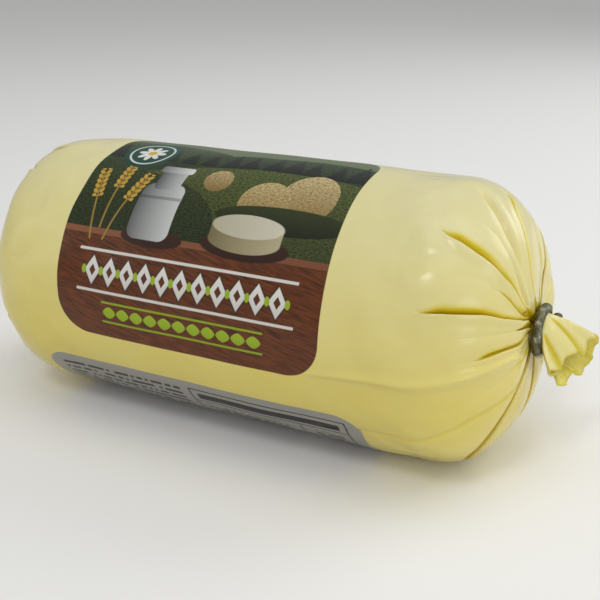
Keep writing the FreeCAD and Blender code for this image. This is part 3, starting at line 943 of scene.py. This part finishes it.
def makeClip(name, node, end, seed):
    # a wire of oval section carried round the neck for a little more than one turn, its ends tapered and laid
    # side by side, with small dents along it
    rng = np.random.default_rng(seed)
    share = np.linspace(0.0, 1.0, clipWire["steps"])[:, None]
    around = np.linspace(0.0, 2.0 * math.pi, clipWire["sides"], endpoint=False)
    turnDeg = 360.0 + clipWire["overlapDeg"]
    phi = (clipWire["firstDeg"] + turnDeg * share) * degree
    sweep = turnDeg * share / 70.0
    first, last = smooth(1.2 - sweep), smooth(sweep - 4.4)
    aside = 0.5 * clipWire["legStep"] * (first - last) + clipWire["legShift"] * (first + last)
    mean = clipWire["neckRadius"] + clipWire["clearance"] + 0.5 * clipWire["deep"]
    taper = np.minimum(1.0, np.sqrt(np.minimum(share, 1.0 - share) / 0.018 + 0.09))
    dents = np.zeros_like(share)
    for _ in range(clipWire["dents"]):
        tall = rng.uniform(*clipWire["dentHeight"])
        at = rng.uniform(0.0, 1.0)
        dents += tall * bell((share - at) / rng.uniform(*clipWire["dentLength"]))
    radius = mean + 0.5 * clipWire["deep"] * (1.0 + dents) * taper * np.cos(around)
    across = 0.5 * clipWire["wide"] * (1.0 - 0.5 * dents) * taper * np.sin(around) + aside
    y = -radius * np.cos(phi)
    x = end["side"] * (neckStart(end) + packShape["neckHalf"] + across) + leaning(end["lean"], y)
    z = radius * np.sin(phi) + end["lift"]
    piece = addTube(name, np.stack([x, y, z], -1) + packMiddle, flip=end["side"] < 0)
    piece.data.materials.append(clipLook)
    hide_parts(node)
    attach(piece, "root")


clipLook = clipMaterial()
makeClip("clipWireNear", "clip_near", nearEnd, 3)
makeClip("clipWireFar", "clip_far", farEnd, 4)
print("clips made")

# floor, light and camera: the floor's size in millimetres, and its colour as seen and as it lights the pack
floorSettings = {"size": 3000.0, "shown": (0.93, 0.93, 0.92, 1.0), "bounce": (0.76, 0.74, 0.66, 1.0)}
# the sky's strength, and for each lamp its place and size in metres and its power in watts
skyStrength = 0.42
lampAim = (0.0, 0.0, 0.03)
lamps = [
    {"name": "keyLamp", "place": (0.13, -0.02, 0.81), "size": 0.7, "power": 1.36},
    {"name": "sparkLamp", "place": (0.02, -0.48, 0.69), "size": 0.2, "power": 0.9},
    {"name": "sideLamp", "place": (-0.8, -0.5, 0.35), "size": 0.6, "power": 0.65},
    {"name": "endLamp", "place": (0.78, -0.38, 0.22), "size": 0.5, "power": 1.5},
    {"name": "backLamp", "place": (0.5, 0.6, 0.5), "size": 0.6, "power": 2.1},
]
# camera: angles in degrees, lens and sensor in millimetres, the rest in body radii from the axis's middle
cameraSettings = {"azimuth": 26.659, "elevation": 21.002, "distance": 7.0456, "aimX": 0.276, "aimZ": -0.0652,
                  "lens": 55.635, "sensor": 36.0}


def makeFloor():
    # a flat square, pale to the camera and in reflections, a little darker and warmer to the light it returns
    size = floorSettings["size"]
    corners = np.array([[-size, -size, 0.0], [size, -size, 0.0], [size, size, 0.0], [-size, size, 0.0]])
    floor = addPiece("floor", corners, [[0, 1, 2, 3]])
    n = Nodes("floorPaint")
    path = n.add("ShaderNodeLightPath")
    seen = n.maths("MAXIMUM", path.outputs["Is Camera Ray"], path.outputs["Is Glossy Ray"])
    n.look("Base Color", n.mix(seen, floorSettings["bounce"], floorSettings["shown"]))
    n.fixed(Roughness=0.9)
    floor.data.materials.append(n.material)


def makeSky(scene):
    # an even white world
    world = bpy.data.worlds.new("studio")
    world.use_nodes = True
    scene.world = world
    sky = world.node_tree.nodes["Background"]
    sky.inputs["Color"].default_value = (1.0, 1.0, 1.0, 1.0)
    sky.inputs["Strength"].default_value = skyStrength


def makeLamp(scene, lamp):
    # a round area lamp turned towards the pack
    data = bpy.data.lights.new(lamp["name"], "AREA")
    data.shape = "DISK"
    data.size = lamp["size"]
    data.energy = lamp["power"]
    light = bpy.data.objects.new(lamp["name"], data)
    light.location = lamp["place"]
    light.rotation_euler = (Vector(lampAim) - light.location).to_track_quat("-Z", "Y").to_euler()
    scene.collection.objects.link(light)


def makeCamera(scene):
    # a camera at its distance from the aim, back along the direction of its azimuth and elevation
    azimuth, elevation = cameraSettings["azimuth"] * degree, cameraSettings["elevation"] * degree
    back = Vector((math.sin(azimuth) * math.cos(elevation), -math.cos(azimuth) * math.cos(elevation),
                   math.sin(elevation)))
    reach = packShape["radius"] * mm
    aim = Vector(packMiddle * mm) + Vector((cameraSettings["aimX"], 0.0, cameraSettings["aimZ"])) * reach
    data = bpy.data.cameras.new("camera")
    data.sensor_width = cameraSettings["sensor"]
    data.lens = cameraSettings["lens"]
    camera = bpy.data.objects.new("camera", data)
    camera.location = aim + back * cameraSettings["distance"] * reach
    camera.rotation_euler = (-back).to_track_quat("-Z", "Y").to_euler()
    scene.collection.objects.link(camera)
    scene.camera = camera


scene = bpy.context.scene
scene.view_settings.view_transform = "Standard"
makeFloor()
makeSky(scene)
for lamp in lamps:
    makeLamp(scene, lamp)
makeCamera(scene)
print("stage made")
